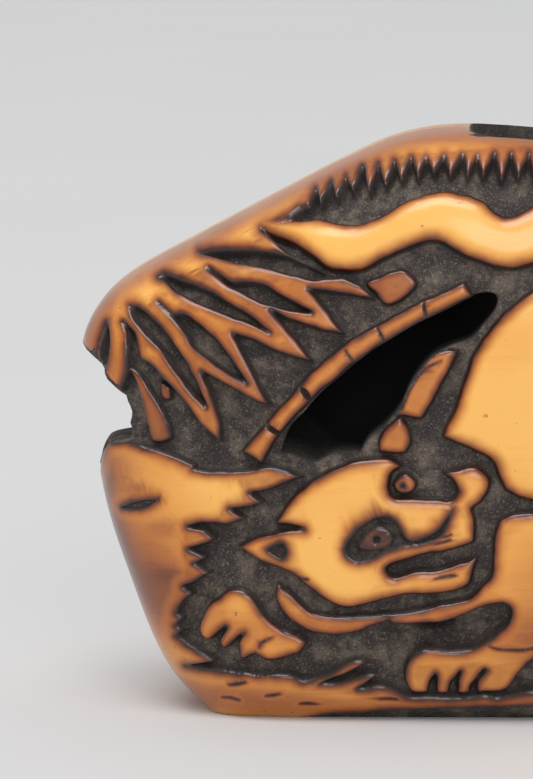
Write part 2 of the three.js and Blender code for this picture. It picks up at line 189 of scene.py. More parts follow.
def tufts(start, end, count, length):
    """Corners of a jagged edge between two places, its tufts sticking out to one side."""
    start, end = np.array(start, float), np.array(end, float)
    step = (end - start) / count
    side = np.array([-step[1], step[0]]) / np.linalg.norm(step)
    corners = []
    for index in range(count):
        root = start + step * index
        tip = root + step * 0.35 + side * length * (0.8 + 0.3 * math.sin(index * 2.3))
        corners += [(root[0], root[1], 1), (tip[0], tip[1], 1)]
    return corners


# ---- The front's outlines. The names are those of part.mjs, with more of each outline's small turns. ----

RIM_EDGE = [
    (-13.55, 28.45, 1), (-13.0, 28.9), (-12.5, 29.1, 1),
    *saw([(-12.1, 29.9), (-9.4, 31.1), (-6.65, 31.7), (-3.9, 31.82), (-0.17, 32.0), (4, 31.5), (8.4, 30.5)],
         [(-11.9, 29.2), (-9.05, 30.1), (-6.4, 30.8), (-3.5, 30.9), (0.1, 30.6), (4.2, 30.3),
          (8.7, 29.2)], 23),
    (8.9, 27.9, 1), (9.9, 28.2), (10.7, 28.6), (11.4, 29.2, 1), (11.15, 28.4), (11.2, 27.5),
    (11.6, 26.6, 1),
    (12.4, 26.85), (13.3, 27.3), (14.2, 28.0, 1), (14.0, 27.2), (14.25, 26.3), (14.8, 25.5, 1),
    (15.4, 25.75), (16.1, 26.15), (16.9, 26.7, 1), (16.95, 25.9), (17.3, 25.1), (18.0, 24.2, 1),
    (19.0, 24.6), (20.3, 24.2), (22.0, 22.0), (23.2, 19.2), (23.6, 16.2), (23.3, 13.9, 1),
]
RIGHT_GROUND = [
    *tufts((22.0, 13.2), (18.2, 3.2), 6, -2.0),
    (17.6, 2.9, 1), (14, 1.45), (9, 1.1), (5.5, 1.15), (2.5, 1.55),
]
FOOT_GROUND = [
    (0.1, 1.75), (-0.9, 1.5), (-1.75, 1.27), (-2.6, 1.45), (-4, 1.3), (-5.4, 1.3), (-6.65, 1.33),
    (-7.5, 1.75), (-8.4, 2.05), (-9.05, 1.95), (-9.6, 1.93, 1), (-9.2, 2.2), (-8.55, 2.8, 1), (-9.4, 2.72),
    (-10.8, 2.27), (-11.7, 2.2, 1), (-11.15, 2.45), (-9.95, 3.0), (-9.2, 3.6, 1), (-10.1, 3.5),
    (-11.3, 2.8), (-12.55, 2.4), (-13.6, 2.68), (-15.75, 2.7), (-17.35, 2.78), (-19.4, 2.85, 1),
]
LEFT_GROUND = [
    (-17.85, 3.3, 1), (-18.85, 3.9), (-19.95, 4.6, 1), (-19.65, 4.95, 1), (-19.97, 5.25, 1),
    (-19.65, 5.7, 1),
    (-19.97, 6.0), (-19.45, 6.85, 1), (-19.05, 7.2, 1), (-19.5, 7.6, 1), (-18.7, 8.05), (-18.05, 8.5, 1),
    (-18.85, 9, 1), (-18.2, 9.4, 1), (-19.1, 9.83, 1), (-18.15, 10.2), (-17.7, 10.5, 1), (-18.35, 11.0),
    (-19.15, 11.1, 1), (-18.3, 11.35), (-17, 11.4), (-15.95, 11.75, 1), (-16.75, 12.25, 1), (-15.7, 12.4),
    (-15.0, 12.7, 1), (-15.6, 13.2, 1), (-14.95, 13.35), (-13.95, 13.67), (-12.7, 14.2, 1), (-13.47, 14.5),
    (-14.5, 14.72), (-15.6, 14.53), (-16.75, 14.38), (-17.9, 14.32), (-18.85, 14.42, 1), (-18.8, 14.65, 1),
    (-20, 15.1), (-21.35, 15.5), (-23, 15.75, 1), (-30, 15.9, 1), (-30, 18.3, 1),
]
BLADES = [
    (-23.48, 18.25, 1), (-22.9, 18.87), (-22.65, 20.05), (-22.6, 21.6), (-22.85, 22.45, 1), (-22.25, 21.95),
    (-22.0, 21.1), (-21.85, 20.55), (-21.35, 20.3), (-20.2, 19.15), (-19.2, 18.0), (-18.4, 16.95),
    (-17.75, 16.35), (-17.3, 16.0, 1), (-17.27, 16.95), (-17.55, 18.02), (-18.1, 19.35), (-18.35, 19.97, 1),
    (-17.3, 19.45), (-16.15, 18.85), (-15.4, 18.42), (-14.65, 18.25, 1), (-14.95, 18.97), (-15.65, 20.35),
    (-16.3, 21.6), (-16.6, 22.12, 1), (-15.6, 21.85), (-14.2, 21.25), (-13.1, 20.9), (-12.25, 20.7, 1),
    (-12.7, 21.4), (-13.5, 22.35), (-14.2, 23.15), (-14.5, 23.5, 1), (-13.7, 23.1), (-12.7, 22.75),
    (-11.55, 22.4), (-10.45, 22.25, 1), (-11.0, 23.07), (-11.5, 23.7), (-12.4, 24.65, 1), (-11.4, 24.57),
    (-10, 24.4), (-8.8, 24.2, 1), (-9.25, 24.7), (-9.6, 24.95), (-10.4, 25.3), (-11.45, 25.25),
    (-12.25, 25.2), (-13.3, 25.45), (-15, 25.82), (-17, 26.08), (-18.7, 26.35, 1), (-17.9, 26.5),
    (-16, 26.63),
    (-14.2, 26.53), (-12.85, 26.1), (-11.6, 25.6, 1), (-12.85, 26.22), (-13.7, 26.62), (-14.25, 27.1),
    (-15.1, 27.7, 1),
]
BLADE_CUTS = [
    [(-18.0, 25.55, 1), (-17.3, 25.2), (-16.75, 24.9), (-16.2, 24.92), (-15, 24.85), (-14, 24.3),
     (-12.8, 23.7),
     (-12.25, 23.4, 1), (-13.4, 23.5), (-15, 23.9), (-16.1, 24.4), (-16.8, 24.7), (-17.4, 25.1)],
    [(-20.9, 24.9, 1), (-20.45, 25.08), (-19.3, 24.8), (-18, 24.4), (-16.85, 23.77), (-15.8, 23.2),
     (-14.55, 22.25, 1), (-15.8, 22.8), (-17.4, 23.35), (-19.07, 23.95), (-20.05, 24.45), (-20.5, 24.8)],
    [(-20.8, 23.65, 1), (-20.0, 23.1), (-19.4, 23.1), (-18.5, 22.5), (-17.65, 21.85), (-16.6, 20.55),
     (-15.8, 19.4, 1), (-16.97, 20.0), (-18, 20.75), (-18.7, 21.3), (-19.2, 22.05), (-19.9, 22.8)],
    [(-22.5, 23.35, 1), (-22.0, 23.3), (-21.35, 22.87), (-20.5, 22.15), (-19.65, 21), (-18.93, 19.85),
     (-18.1, 18.0, 1), (-18.93, 18.85), (-19.8, 19.95), (-20.65, 21.1), (-21.5, 21.95), (-22.25, 22.72)],
    [(-23.85, 22.35, 1), (-23.7, 21.5), (-23.8, 20.5), (-23.95, 19.8, 1), (-24.15, 19.85), (-24.37, 20.65),
     (-24.1, 21.8)],
]
END_GAP = [
    (-30, 20.75, 1), (-25.35, 20.6, 1), (-25.0, 20.0), (-24.45, 19.5), (-23.95, 18.95), (-23.8, 18.3),
    (-23.2, 17.75), (-22.75, 17.45), (-22.6, 17.0), (-22.35, 16.4), (-22.45, 15.8, 1), (-23.25, 15.65),
    (-23.8, 15.45), (-24.2, 14.8), (-24.4, 14.0), (-24.7, 13.0, 1), (-30, 12.6, 1),
]
UNDERCUT = 0.2  # how steeply the floor of that gap falls away to the back

TAIL_TOP = [
    (-13.5, 28.47), (-12.0, 28.55), (-10.6, 28.33), (-9.6, 28.33), (-8.45, 28.82), (-7.2, 29.6),
    (-6.0, 30.05),
    (-4.9, 30.25), (-3.4, 30.0), (-2.6, 29.67), (-2.15, 29.15), (-1.5, 28.85), (-0.75, 29.0), (0.1, 29.5),
    (1.6, 30.1), (3.4, 30.2), (5.4, 29.6), (7.2, 28.4), (8.8, 26.9), (10.6, 25.6), (12.6, 24.8),
    (15.0, 24.4),
    (17.6, 23.7), (19.8, 22.4), (20.7, 20.3), (20.2, 18.0), (18.6, 16.3), (17.0, 15.2, 1),
]
TAIL_FOOT = [
    (16.2, 17.6, 1), (17.5, 18.3), (18.0, 19.6), (17.4, 20.8), (15.4, 21.5), (12.8, 21.9), (10.4, 22.7),
    (8.4, 24.1), (6.4, 25.8), (4.2, 27.0), (2.2, 27.0), (0.1, 26.17), (-1.0, 25.92), (-2.2, 26.05),
    (-3.95, 26.72), (-5.3, 27.42), (-6.45, 27.18), (-8.1, 26.45), (-9.55, 25.75), (-11.3, 25.8),
    (-12.6, 26.7), (-13.5, 27.2), (-15.1, 27.72), (-16.4, 27.9, 1), (-15, 28.3),
]
STEM = [
    (-15.55, 15.2, 1.3), (-15.1, 15.9, 1.15), (-14.4, 16.85, 1.0), (-13.2, 18.2, 0.95),
    (-12.15, 19.35, 1.1),
    (-10.35, 20.95, 1.2), (-8.5, 22.2, 1.1), (-6.5, 23.35, 1.0), (-3.5, 24.8, 0.9),
]
SHORT_STEM = [
    [(-4.1, 21.35, 1), (-4.7, 21.4), (-5.4, 21.15), (-6.2, 20.5), (-6.8, 19.6), (-7.2, 18.7),
     (-7.5, 17.75, 1),
     (-6.1, 17.55, 1), (-5.5, 18.6), (-5.0, 19.5), (-4.5, 20.5)],
    [(-7.2, 17.55, 1), (-7.65, 17.3), (-8.2, 16.75), (-8.45, 16.2), (-8.4, 15.7, 1), (-7.2, 15.6),
     (-6.9, 15.8), (-6.7, 16.5)],
]
SHOULDER = [
    (-4.75, 16.4), (-4.8, 16.9), (-4.2, 18.2), (-3.7, 19.8), (-3.2, 21.3), (-2.35, 22.5), (-1.4, 23.55),
    (0.1, 24.7), (2.6, 25.35), (5.2, 24.9), (7.4, 23.4), (9.0, 21.0), (9.6, 18.2), (9.2, 15.4), (7.6, 13.4),
    (4, 12.6), (0.1, 12.95), (-1.2, 13.38), (-1.75, 14.15), (-2.1, 15.07), (-3.05, 15.7),
]
HEAD = [
    (-16.35, 10.1, 1), (-15.37, 10.63), (-13.98, 11.03), (-13.3, 11.17), (-12.65, 11.25, 1), (-13.5, 11.4),
    (-14.2, 11.5, 1), (-14.05, 11.93), (-13.35, 12.87), (-12.3, 13.87), (-10.97, 14.67), (-9.43, 15.18),
    (-7.98, 15.3), (-7.15, 14.87, 1), (-7.7, 14.47), (-7.9, 13.65), (-7.55, 13.08), (-6.45, 13.02),
    (-5.2, 13.0), (-4.45, 13.0), (-4, 13.48, 1), (-4.3, 14.07), (-4.6, 14.3), (-5, 14.5, 1), (-4.1, 14.7),
    (-3.05, 14.85), (-2.35, 14.35), (-2.28, 13.58), (-2.75, 12.9), (-3.3, 12.5, 1), (-3.1, 11.8),
    (-3.05, 11.0), (-3.15, 10.63), (-3.55, 10.4, 1), (-4.8, 10.02), (-5.97, 9.88), (-7.15, 9.48),
    (-7.98, 9.05), (-7.63, 8.63), (-7.1, 8.7), (-6.3, 8.93), (-5.27, 9.02), (-4.2, 9.3), (-2.98, 9.7, 1),
    (-3.2, 8.9), (-3.4, 8.2), (-4.1, 7.8), (-5.6, 7.6), (-7.0, 7.48), (-8.43, 7.15), (-10.1, 6.77),
    (-11.2, 7.1), (-12.25, 7.75), (-13.03, 8.4), (-13.65, 8.8), (-15.2, 9.37),
]
NECK = [
    (-14.15, 8.0, 1), (-13.16, 7.35), (-12.72, 6.9), (-12.16, 6.45), (-11.2, 6.25), (-9.75, 6.25),
    (-8.3, 6.35), (-7.4, 6.5, 1), (-8.0, 5.9, 1), (-9.05, 5.6), (-10.2, 5.2), (-11.2, 5.14), (-12.34, 5.35),
    (-13.17, 5.74), (-13.73, 6.3), (-14.28, 7.2),
]
FORELEG = [
    (-8.1, 6.35, 1), (-6.1, 6.7), (-4.7, 7.02), (-3.45, 7.33), (-2.77, 7.97), (-2.17, 8.77), (-2.07, 10.05),
    (-1.9, 11.5), (-1.45, 12.03), (0.1, 12.3), (4, 11.9), (7.6, 12.4), (9.6, 13.9, 1), (9.7, 10.6),
    (10.6, 7.8),
    (9.6, 6.0, 1), (5, 5.6), (2, 4.9), (0.1, 3.65), (-0.25, 3.3), (-0.6, 2.85), (-0.9, 2.4), (-1.2, 1.9),
    (-1.6, 1.68, 1), (-2.6, 1.66), (-2.9, 1.62, 1), (-2.95, 2.2), (-2.5, 3.1, 1), (-2.9, 2.65),
    (-3.15, 2.35),
    (-3.3, 2.03), (-3.35, 1.65, 1), (-3.75, 1.58), (-4.05, 1.65, 1), (-4.0, 2.2), (-3.85, 3.0, 1),
    (-4.1, 2.7),
    (-4.32, 2.4), (-4.48, 2.1), (-4.55, 1.65, 1), (-4.9, 1.58), (-5.22, 1.65, 1), (-5.25, 2.15),
    (-5.2, 2.9, 1), (-5.42, 2.55), (-5.57, 2.2), (-5.65, 1.65, 1), (-6.0, 1.58), (-6.35, 1.6),
    (-6.65, 1.72),
    (-6.9, 2.1), (-7.0, 2.55), (-6.95, 3.15), (-6.8, 3.65), (-6.55, 3.98), (-6.2, 4.2), (-5.75, 4.34),
    (-4.5, 4.22), (-3.95, 4.25), (-3.2, 4.38), (-2.5, 4.8), (-1.7, 5.4), (-1.25, 5.9), (-1.1, 6.45),
    (-1.2, 6.85), (-1.6, 7.05), (-2.3, 6.95), (-2.85, 6.78), (-3.4, 6.5), (-4.5, 6.1), (-5.3, 5.9),
    (-6.2, 5.83), (-7.0, 5.8), (-7.8, 5.9, 1),
]
FAR_PAW = [
    (-16.42, 7.65), (-16.9, 7.57), (-17.5, 7.13), (-18.07, 6.69), (-18.36, 6.21), (-18.6, 5.6),
    (-18.64, 5.12),
    (-18.5, 4.72), (-18.16, 4.51), (-17.87, 4.72), (-17.7, 4.96), (-17.07, 5.4, 1), (-17.24, 4.99),
    (-17.45, 4.63), (-17.42, 4.27), (-17.2, 4.05), (-16.97, 4.19), (-16.74, 4.5), (-16.39, 4.87),
    (-16.0, 5.1, 1), (-16.22, 4.82), (-16.36, 4.5), (-16.42, 4.1), (-16.4, 3.68), (-16.24, 3.5),
    (-15.96, 3.53), (-15.67, 3.75), (-15.45, 3.85, 1), (-15.22, 3.74), (-14.89, 3.58), (-14.49, 3.53),
    (-13.93, 3.67), (-13.31, 3.87), (-12.91, 4.0), (-12.68, 4.36), (-12.57, 4.71), (-12.79, 4.94),
    (-13.29, 5.16), (-13.85, 5.37), (-14.41, 5.76), (-14.86, 6.21), (-15.19, 6.72), (-15.47, 7.17),
    (-15.74, 7.45), (-16.08, 7.64),
]
RUMP = [
    (10.4, 13.6), (10.5, 16.0), (11.6, 18.3), (13.8, 19.7), (16.2, 19.1), (17.8, 16.9), (18.2, 13.8),
    (17.5, 10.8), (16.3, 8.3), (15.6, 5.6), (15.5, 3.2), (14.6, 1.9), (9.2, 1.6), (7.4, 1.9), (6.7, 3.0),
    (7.4, 4.3), (10.0, 4.9), (11.5, 6.4), (10.8, 9.4),
]
EYE_RING = [
    (-10.3, 10.03), (-10.2, 10.45), (-9.6, 11.3), (-8.83, 11.88), (-8.27, 12.03), (-7.72, 11.95),
    (-7.28, 11.47), (-6.8, 10.77), (-6.3, 10.7), (-5.4, 11.05), (-4.9, 11.6), (-4.3, 12.45, 1),
    (-4.57, 11.8), (-5.0, 11.0), (-5.9, 10.6), (-7.15, 10.4), (-8.0, 10.1), (-8.9, 9.63), (-9.8, 9.57),
]
EYE = [
    (-9.5, 10.25, 1), (-9.32, 10.73), (-8.97, 11.2), (-8.55, 11.43), (-8.13, 11.43), (-7.78, 11.15),
    (-7.65, 10.8, 1), (-7.9, 10.4), (-8.77, 10.15),
]
EAR_HOLE = [(-14.7, 10.03, 1), (-14.28, 10.25), (-13.8, 10.4), (-13.53, 9.95), (-13.8, 9.5), (-14.2, 9.65)]
SMALL_EYE = [(-7.62, 13.83), (-7.3, 14.25), (-6.8, 14.4), (-6.35, 13.95), (-6.6, 13.45), (-7.2, 13.35)]
PATCH = [
    (-9.2, 25.05), (-8.55, 25.4), (-7.9, 25.65), (-7.1, 25.75), (-6.45, 25.1), (-7.0, 24.4), (-8.0, 23.9),
    (-8.7, 24.5),
]
LOW_LEAVES = [
    [(-22.65, 19.9, 1), (-22.15, 18.8), (-21.8, 17.6), (-21.6, 16.8), (-21.3, 15.85), (-20.4, 15.95),
     (-20.3, 16.55), (-20.75, 17.5), (-21.4, 18.5), (-22.0, 19.5)],
    [(-20.85, 19.2, 1), (-20.35, 18.9), (-20.3, 18.3), (-20.7, 18.4)],
]
# The underside's painted shade: a dark strip low along the front, sunk up to 0.1 mm and coloured as the
# sunken floor.
UNDERSIDE_PAINTED_SHADE = [
    (-13.5, -1.5), (-12.0, 0.05), (-8.5, 0.45), (-5.7, 0.62), (-2.5, 0.78), (0.1, 0.82), (8, 0.75),
    (14, 0.4),
    (17, -0.3), (18, -1.5),
]
STREAK = [(-23.0, 11.85, 1), (-22.1, 12.3), (-20.8, 12.62, 1), (-21.7, 12.05)]

# The tiger's parts: outline, depth of the top below the pebble, and how far in its edge is rounded.
TIGER = [
    (SHOULDER, 0.0, 0.9), (HEAD, 0.0, 0.7), (NECK, 0.15, 0.4), (FORELEG, 0.05, 0.5), (FAR_PAW, 0.05, 0.6),
    (RUMP, 0.0, 0.8),
]
PUPILS = [(-8.55, 10.73, 0.22, 0.4), (-7.1, 13.75, 0.14, 0.35)]  # x, z, radius and depth

# Fine lines: their points, width and depth.
GROOVES = [
    ([(8.3, 1.4), (8.3, 2.3), (8.8, 3.0)], 0.35, 0.6),
    ([(9.7, 1.4), (9.8, 2.4), (10.4, 3.2)], 0.35, 0.6),
    ([(11.1, 1.4), (11.3, 2.4), (12.0, 3.2)], 0.35, 0.6),
    ([(-2.5, 4.75), (-2.0, 4.48), (-1.2, 4.38), (0.1, 4.48), (2.4, 5.2)], 0.1, 0.14),
    ([(-5.3, 8.5), (-4.7, 8.68), (-4.1, 8.73)], 0.09, 0.1),
    ([(-5.35, 10.5), (-4.9, 10.62), (-4.45, 10.75)], 0.09, 0.1),
    ([(-5.1, 11.05), (-4.75, 10.95), (-4.4, 11.05)], 0.08, 0.1),
    ([(-13.2, 8.5), (-12.8, 8.42), (-12.4, 8.4)], 0.09, 0.1),
    ([(-15.4, 3.9), (-15.1, 4.55), (-14.76, 4.8), (-14.36, 4.95)], 0.09, 0.1),
    ([(-14.95, 17.2), (-14.35, 16.8), (-13.8, 16.4)], 0.3, 0.7),
    ([(-12.8, 19.2), (-12.5, 18.85), (-12.3, 18.5)], 0.35, 0.6),
    ([(-8.6, 22.65), (-8.35, 22.2), (-8.1, 21.75)], 0.12, 0.3),
    ([(-6.0, 24.2), (-5.97, 23.8), (-5.85, 23.3)], 0.14, 0.4),
    ([(-10.3, 21.3), (-10.1, 21.0), (-9.8, 20.6)], 0.07, 0.1),
    ([(-9.95, 25.3), (-9.1, 24.65), (-8.4, 24.0)], 0.16, 0.5),
    ([(-7.17, 18.0), (-6.9, 18.84), (-6.4, 19.7), (-5.85, 20.35), (-5.0, 20.8)], 0.1, 0.15),
    ([(-16.9, 2.0), (-16.4, 2.1), (-15.9, 2.25)], 0.14, 0.1),
    ([(-17.3, 1.15), (-16.8, 1.2), (-16.3, 1.1)], 0.12, 0.1),
    ([(-14.8, 1.45), (-14.45, 1.5), (-14.0, 1.6)], 0.14, 0.1),
    ([(-12.9, 0.95), (-12.5, 1.0), (-12.0, 0.95)], 0.12, 0.1),
    ([(-8.4, 1.3), (-7.9, 1.35), (-7.4, 1.28)], 0.12, 0.1),
]

# The back: a spray of bamboo cut into the smooth face.
BACK_CUTS = [
    band([(15.5, 7.0, 0.9), (11.5, 10.1, 0.85), (8.0, 12.2, 0.8), (2.5, 14.9, 0.5)]),
    leaf((7.6, 13.2), (1.6, 20.6), 1.9, 0.5), leaf((9.4, 12.4), (7.0, 21.4), 2.0, 0.4),
    leaf((11.2, 11.3), (13.4, 20.0), 2.0, -0.3), leaf((6.0, 12.4), (-3.2, 9.6), 1.9, -0.6),
    leaf((9.0, 10.4), (1.8, 5.6), 1.9, -0.5), leaf((-17.6, 19.6), (-11.2, 13.6), 1.9, 0.5),
    leaf((-18.2, 18.6), (-17.6, 10.2), 1.8, 0.4), leaf((-18.8, 20.6), (-12.0, 22.4), 1.7, 0.4),
]
CRESCENT = [
    (-13.95, 15.5, 1), (-13.4, 16.9), (-12.55, 17.85), (-11.7, 18.85), (-10.5, 19.9), (-9.1, 21.1),
    (-7.8, 21.95), (-6.3, 22.85), (-4.5, 23.7), (-3.05, 24.43), (-2.05, 24.43), (-1.95, 23.75),
    (-2.55, 22.85), (-3.4, 21.95), (-4.5, 21.55), (-5.45, 21.05), (-6.15, 20.3), (-6.8, 19.25),
    (-7.25, 18.2), (-8.05, 17.15), (-9.0, 16.3), (-9.5, 15.5, 1), (-10.7, 15.45), (-11.45, 15.2),
    (-12.1, 14.9), (-13.05, 15.25),
]


# ---- Maps from outlines ----

class Side:
    """The depth map of one side of the piece, and the values that its colours need."""

    def __init__(self):
        self.depth = np.full(GRID_X.shape, FLOOR_SINK)  # below the pebble, in millimetres
        self.shore = np.full(GRID_X.shape, REACH)  # distance from the nearest cut, on standing ground
        self.brown = np.zeros(GRID_X.shape)  # 0 for clear antler to 1 for the brownest


def signed_distance(points):
    """A map of the distance to a closed outline, positive inside it, and right up to REACH away."""
    best = np.full(GRID_X.shape, REACH)
    inside = np.zeros(GRID_X.shape, bool)
    for (ax, az), (bx, bz) in zip(points, np.roll(points, -1, axis=0)):
        column = slice(max(0, int((min(ax, bx) - REACH - MAP_X[0]) / CELL)),
                       max(0, int((max(ax, bx) + REACH - MAP_X[0]) / CELL) + 2))
        row = slice(max(0, int((min(az, bz) - REACH - MAP_Z[0]) / CELL)),
                    max(0, int((max(az, bz) + REACH - MAP_Z[0]) / CELL) + 2))
        x, z = GRID_X[row, column], GRID_Z[row, column]
        dx, dz = bx - ax, bz - az
        share = np.clip(((x - ax) * dx + (z - az) * dz) / (dx * dx + dz * dz + 1e-12), 0, 1)
        distance = np.hypot(x - ax - share * dx, z - az - share * dz)
        best[row, column] = np.minimum(best[row, column], distance)
        if bz != az:
            rows = slice(max(0, int(math.ceil((min(az, bz) - MAP_Z[0]) / CELL))),
                         max(0, int(math.ceil((max(az, bz) - MAP_Z[0]) / CELL))))
            crossing = ax + (GRID_Z[rows, :1] - az) * dx / dz
            inside[rows] ^= GRID_X[rows] < crossing
    return np.where(inside, best, -best)


def noise(size, seed, stretch=(1.0, 1.0)):
    """Smooth noise between -1 and 1 on the map, with the given size of its bumps in millimetres."""
    cell_x, cell_z = size * stretch[0], size * stretch[1]
    columns = int((MAP_X[1] - MAP_X[0]) / cell_x) + 4
    rows = int((MAP_Z[1] - MAP_Z[0]) / cell_z) + 4
    lattice = np.random.default_rng(seed).uniform(-1, 1, (rows, columns))
    u, v = (xs - MAP_X[0]) / cell_x, (zs - MAP_Z[0]) / cell_z
    i, j = u.astype(int), v.astype(int)
    s, t = u - i, v - j
    s, t = (s * s * (3 - 2 * s))[None, :], (t * t * (3 - 2 * t))[:, None]
    low = lattice[np.ix_(j, i)] * (1 - s) + lattice[np.ix_(j, i + 1)] * s
    high = lattice[np.ix_(j + 1, i)] * (1 - s) + lattice[np.ix_(j + 1, i + 1)] * s
    return low * (1 - t) + high * t


def smooth_step(low, high, value):
    t = np.clip((value - low) / (high - low), 0, 1)
    return t * t * (3 - 2 * t)


def stand(side, distance, top, rounding, brown=0.0):
    """Lets a figure stand: its top lies this far below the pebble, and its edge is rounded over."""
    inner = np.clip(rounding - distance, 0, rounding)
    dip = rounding - np.sqrt(np.maximum(rounding ** 2 - inner ** 2, 0))
    slope = np.maximum(-distance, 0) * WALL_SLOPE
    side.depth = np.minimum(side.depth, top + np.where(distance > 0, 0.5 * dip, 0.5 * rounding + slope))
    side.brown += brown * smooth_step(-0.1, 0.1, distance)
    side.shore = np.maximum(side.shore, distance)


def cut(side, distance, depth, slope=3.0):
    """Sinks the inside of an outline to a depth below the pebble."""
    side.depth = np.maximum(side.depth, np.minimum(depth, side.depth + np.maximum(distance, 0) * slope))
    side.shore = np.minimum(side.shore, -distance)


def groove(side, points, width, depth):
    """Cuts a line that tapers towards its ends."""
    line = line_points(points)
    for (x, z), at in zip(line, np.linspace(0, 1, len(line))):
        half = width / 2 * (0.3 + 0.7 * math.sin(math.pi * at) ** 0.6)
        column = slice(int((x - 1 - MAP_X[0]) / CELL), int((x + 1 - MAP_X[0]) / CELL))
        row = slice(int((z - 1 - MAP_Z[0]) / CELL), int((z + 1 - MAP_Z[0]) / CELL))
        distance = np.hypot(GRID_X[row, column] - x, GRID_Z[row, column] - z)
        floor = np.maximum(side.depth[row, column], depth * np.clip(1.3 - 1.3 * distance / half, 0, 1))
        side.depth[row, column] = floor
        burn = (distance - half * 0.8) * SCRATCH_BURN
        side.shore[row, column] = np.minimum(side.shore[row, column], burn)


def swell(x, z, radius_x, radius_z, height):
    """A soft round mound of a height, to add to a map."""
    return height * np.exp(-((GRID_X - x) / radius_x) ** 2 - ((GRID_Z - z) / radius_z) ** 2)


# Where the antler is browner: x, z, the patch's two radii, and how much.
BROWN_PATCHES = [
    (-23.6, 8.5, 1.9, 5.5, 0.5), (-20.8, 7.0, 2.2, 3.6, 0.45), (-17.5, 1.2, 4.6, 1.3, 0.6),
    (-11.0, 0.9, 5.0, 1.0, 0.35), (-1.0, 0.7, 8.0, 1.0, 0.6), (-23.4, 14.2, 1.2, 1.3, 0.3),
    (-16.0, 22.3, 4.2, 2.4, 0.42), (-19.5, 18.8, 3.6, 3.2, 0.5), (-23.8, 20.2, 1.0, 2.2, 0.55),
    (-12.0, 24.6, 3.2, 0.8, 0.35), (-16.2, 5.4, 3.2, 2.2, 0.35), (-4.5, 3.0, 3.0, 2.0, 0.3),
    (-0.2, 4.9, 2.4, 1.8, 0.6), (0.4, 9.0, 3.0, 2.6, 0.3), (-11.0, 5.6, 3.4, 0.9, 0.4),
    (-5.2, 6.6, 3.2, 0.6, 0.4), (-4.8, 8.4, 2.4, 0.7, 0.2), (-15.2, 10.0, 1.2, 0.7, 0.3),
    (-0.2, 32.3, 3.2, 0.8, 0.35), (-21.8, 12.9, 0.9, 0.35, 0.5), (-18.0, 12.0, 2.0, 1.0, 0.15),
    (-8.5, 10.75, 1.2, 0.9, 0.55), (-7.7, 6.3, 0.6, 0.5, 0.7), (-6.9, 25.2, 0.9, 0.6, 0.35),
    (-21.5, 7.0, 3.0, 6.0, 0.2), (-20.0, 11.0, 1.6, 0.5, 0.25), (-19.8, 8.2, 1.4, 0.5, 0.3),
]


def front_side():
    """The carved front: the ground and the figures stand, and everything between them is sunk."""
    side = Side()
    side.shore[:] = -REACH
    waver = 0.035 * noise(0.5, 3) + 0.03 * noise(1.3, 4)

    def shape(points):
        return signed_distance(outline(points)) + waver

    # The ground under the neck sinks 1.3 mm deeper, which brings the painted shade of deep places onto it.
    side.depth += swell(-5.2, 5.3, 3.2, 0.8, 1.3) + 0.07 * noise(0.55, 5) + 0.05 * noise(0.22, 6)
    around = -shape(RIM_EDGE + RIGHT_GROUND + FOOT_GROUND + LEFT_GROUND + BLADES)
    for points in BLADE_CUTS:
        around = np.minimum(around, -shape(points))
    around = np.minimum(around, -signed_distance(outline(END_GAP)))
    stand(side, around, 0.0, 0.35)
    stand(side, shape(TAIL_TOP + TAIL_FOOT), 0.0, 1.1)
    stand(side, signed_distance(band(STEM)) + waver, 0.05, 0.5, 0.3)
    for points in SHORT_STEM:
        stand(side, shape(points) + 0.05, 0.05, 0.5, 0.35)
    for points, top, rounding in TIGER:
        stand(side, shape(points), top, rounding)
    stand(side, shape(SMALL_EYE), 0.05, 0.3, 0.2)
    stand(side, shape(PATCH) + 0.05, 0.4, 0.3, 0.5)
    for points in LOW_LEAVES:
        stand(side, shape(points) + 0.05, 0.35, 0.3, 0.65)
    cut(side, np.minimum(shape(EYE_RING), -shape(EYE)), 0.7)
    cut(side, shape(EAR_HOLE), 0.7)
    cut(side, shape(STREAK), 0.2)
    # Painted shade of the underside, low along the front.
    cut(side, signed_distance(np.array(UNDERSIDE_PAINTED_SHADE)) + waver, 0.1)
    for x, z, radius, depth in PUPILS:
        cut(side, signed_distance(ellipse(x, z, radius, radius, 16)), depth)
    for points, width, depth in GROOVES:
        groove(side, points, width, depth)
    for patch in BROWN_PATCHES:
        side.brown += swell(*patch)
    angles, reach = blank_reach()
    arm_x, arm_z = GRID_X - CORE[0], GRID_Z - CORE[1]
    rho = np.hypot(arm_x, arm_z) / np.interp(np.arctan2(arm_z, arm_x), angles, reach, period=2 * math.pi)
    # Browner on the upper rim: partly the stain of the antler's outer surface, partly painted shade of the
    # upturned crest, which looks darker from the dark surroundings it reflects.
    side.brown += 0.55 * smooth_step(0.94, 0.995, rho) * smooth_step(4, 14, GRID_Z)
    side.brown += 0.1 * noise(2.5, 8)
    return side


def back_side():
    """The plainer back: smooth antler with the bamboo cut into it."""
    side = Side()
    side.depth[:] = 0.0
    waver = 0.035 * noise(0.5, 13) + 0.03 * noise(1.3, 14)
    for points in BACK_CUTS:
        cut(side, signed_distance(points) + waver, 0.75 + 0.05 * noise(0.3, 15))
    side.brown += 0.25 + 0.25 * noise(6.0, 16) + 0.1 * noise(2.5, 18)
    return side


# ---- The pebble's mesh ----

def blank_reach():
    """The blank's outline as its distance from the pebble's centre at evenly spread angles."""
    points = smooth_run(BLANK, True, 0.05)
    arms = points - np.array(CORE)
    angles = np.arctan2(arms[:, 1], arms[:, 0])
    order = np.argsort(angles)
    return angles[order], np.hypot(*arms.T)[order]


